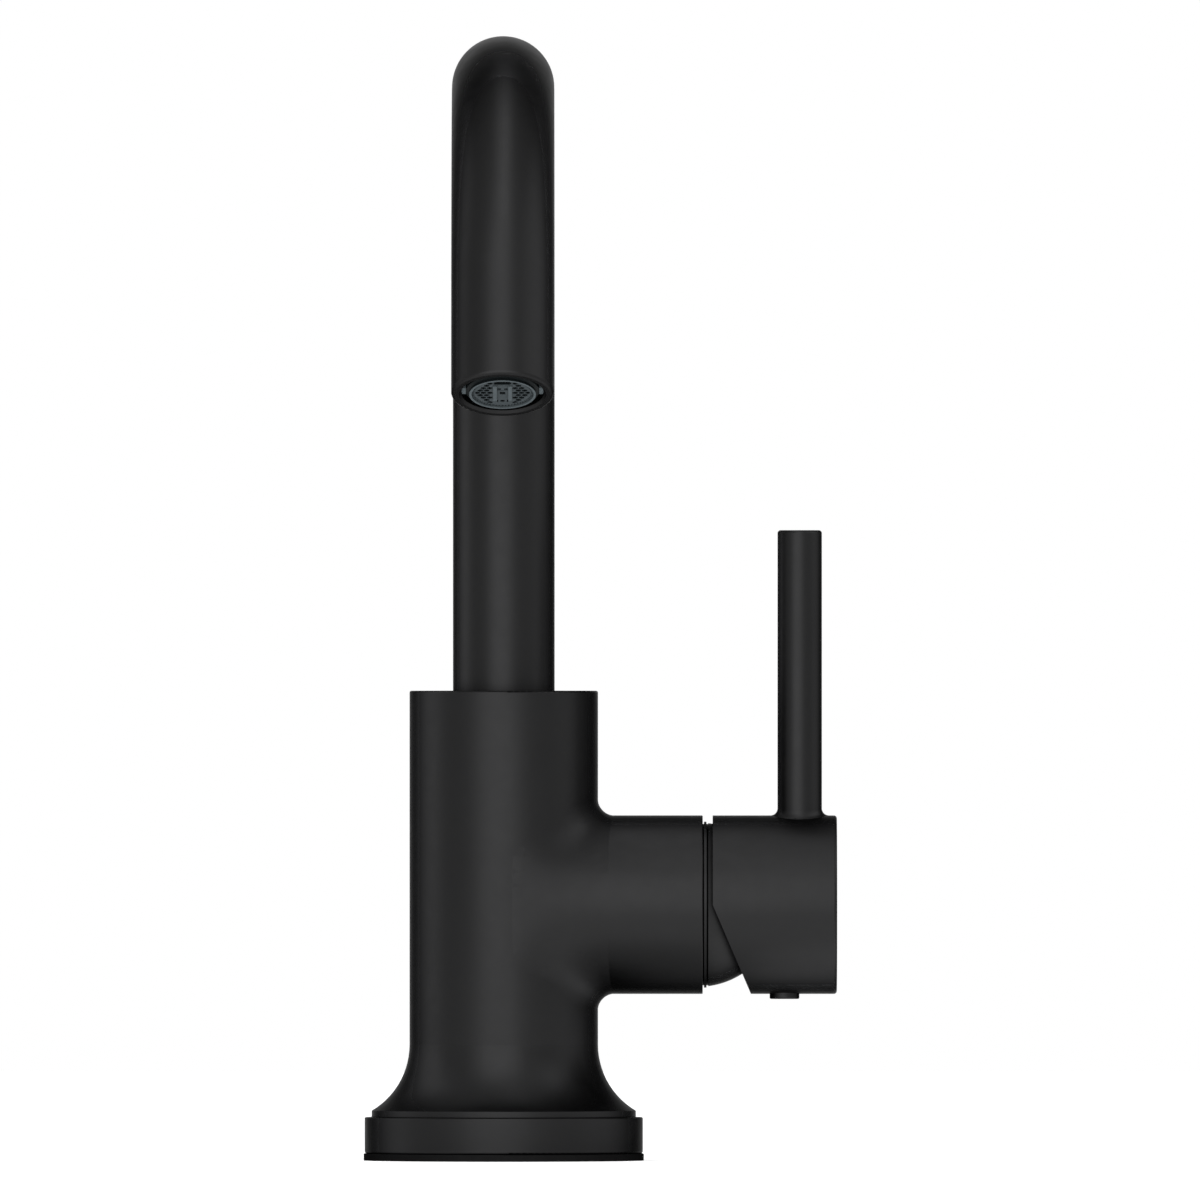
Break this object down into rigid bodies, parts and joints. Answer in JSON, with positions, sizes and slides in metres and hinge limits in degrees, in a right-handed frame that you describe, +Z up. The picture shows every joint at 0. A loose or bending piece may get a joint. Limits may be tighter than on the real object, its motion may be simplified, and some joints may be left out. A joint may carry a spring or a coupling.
{
  "type": "single-lever basin mixer",
  "caption": "Tall single-lever basin mixer with a side lever, a curved swivel spout and a ceramic disc cartridge inside.",
  "frame": {"origin": "centre of the base on the deck, on the axis of the upright body", "axes": "+Z up along the body, the spout reaches towards -Y, the side lever stands on +X"},
  "size_m": [0.0949, 0.1727, 0.2248],
  "materials": {
    "black_paint": "matte black coating",
    "rubber": "matte",
    "brass": "machined",
    "steel": "machined",
    "ceramic": "polished ceramic",
    "black_plastic": "moulded",
    "white_plastic": "moulded",
    "grey_plastic": "moulded"
  },
  "bodies": {
    "body": {"body_casting": "black_paint", "base_ring": "black_paint", "deck_gasket": "rubber", "inlet_block": "brass", "block_seal": "rubber", "swivel_stop_screw": "steel", "lower_bearing_ring": "white_plastic", "upper_bearing_ring": "black_plastic", "cartridge_base": "black_plastic", "hot_port_seal": "rubber", "cold_port_seal": "rubber", "outlet_port_seal": "rubber", "fixed_disc": "ceramic", "cartridge_housing": "grey_plastic", "retaining_nut": "brass", "trim_ring": "black_paint", "dome_cap": "black_paint"},
    "rotor": {"stem_guide": "white_plastic", "pivot_pin": "steel"},
    "disc": {"disc_carrier": "white_plastic", "moving_disc": "ceramic"},
    "lever": {"lever_stem": "steel", "lever_handle": "black_paint", "lever_set_screw": "steel", "index_plug": "black_plastic"},
    "spout": {"spout_tube": "black_paint", "spout_tail": "brass", "lower_tail_seal": "rubber", "upper_tail_seal": "rubber", "outlet_insert": "black_paint", "aerator_housing": "grey_plastic", "mixing_screen": "steel", "middle_screen": "steel", "inner_screen": "steel", "aerator_seal": "rubber"}
  },
  "joints": [
    {"name": "spout_swivel", "type": "hinge", "parent": "body", "child": "spout", "pos_m": [0, 0, 0.09], "axis": [0, 0, 1], "range_deg": [-60, 60]},
    {"name": "temperature", "type": "hinge", "parent": "body", "child": "rotor", "pos_m": [0.0389, 0, 0.0513], "axis": [1, 0, 0], "range_deg": [-45, 45]},
    {"name": "lever_flow", "type": "hinge", "parent": "rotor", "child": "lever", "pos_m": [0.0389, 0, 0.0513], "axis": [0, 1, 0], "range_deg": [0, 22]},
    {"name": "disc_slide", "type": "slide", "parent": "rotor", "child": "disc", "axis": [0, 0, 1], "range_m": [0, 0.0033]}
  ],
  "couplings": [
    {"joint": "disc_slide", "follows": "lever_flow", "m_per_rad": 0.00829}
  ]
}
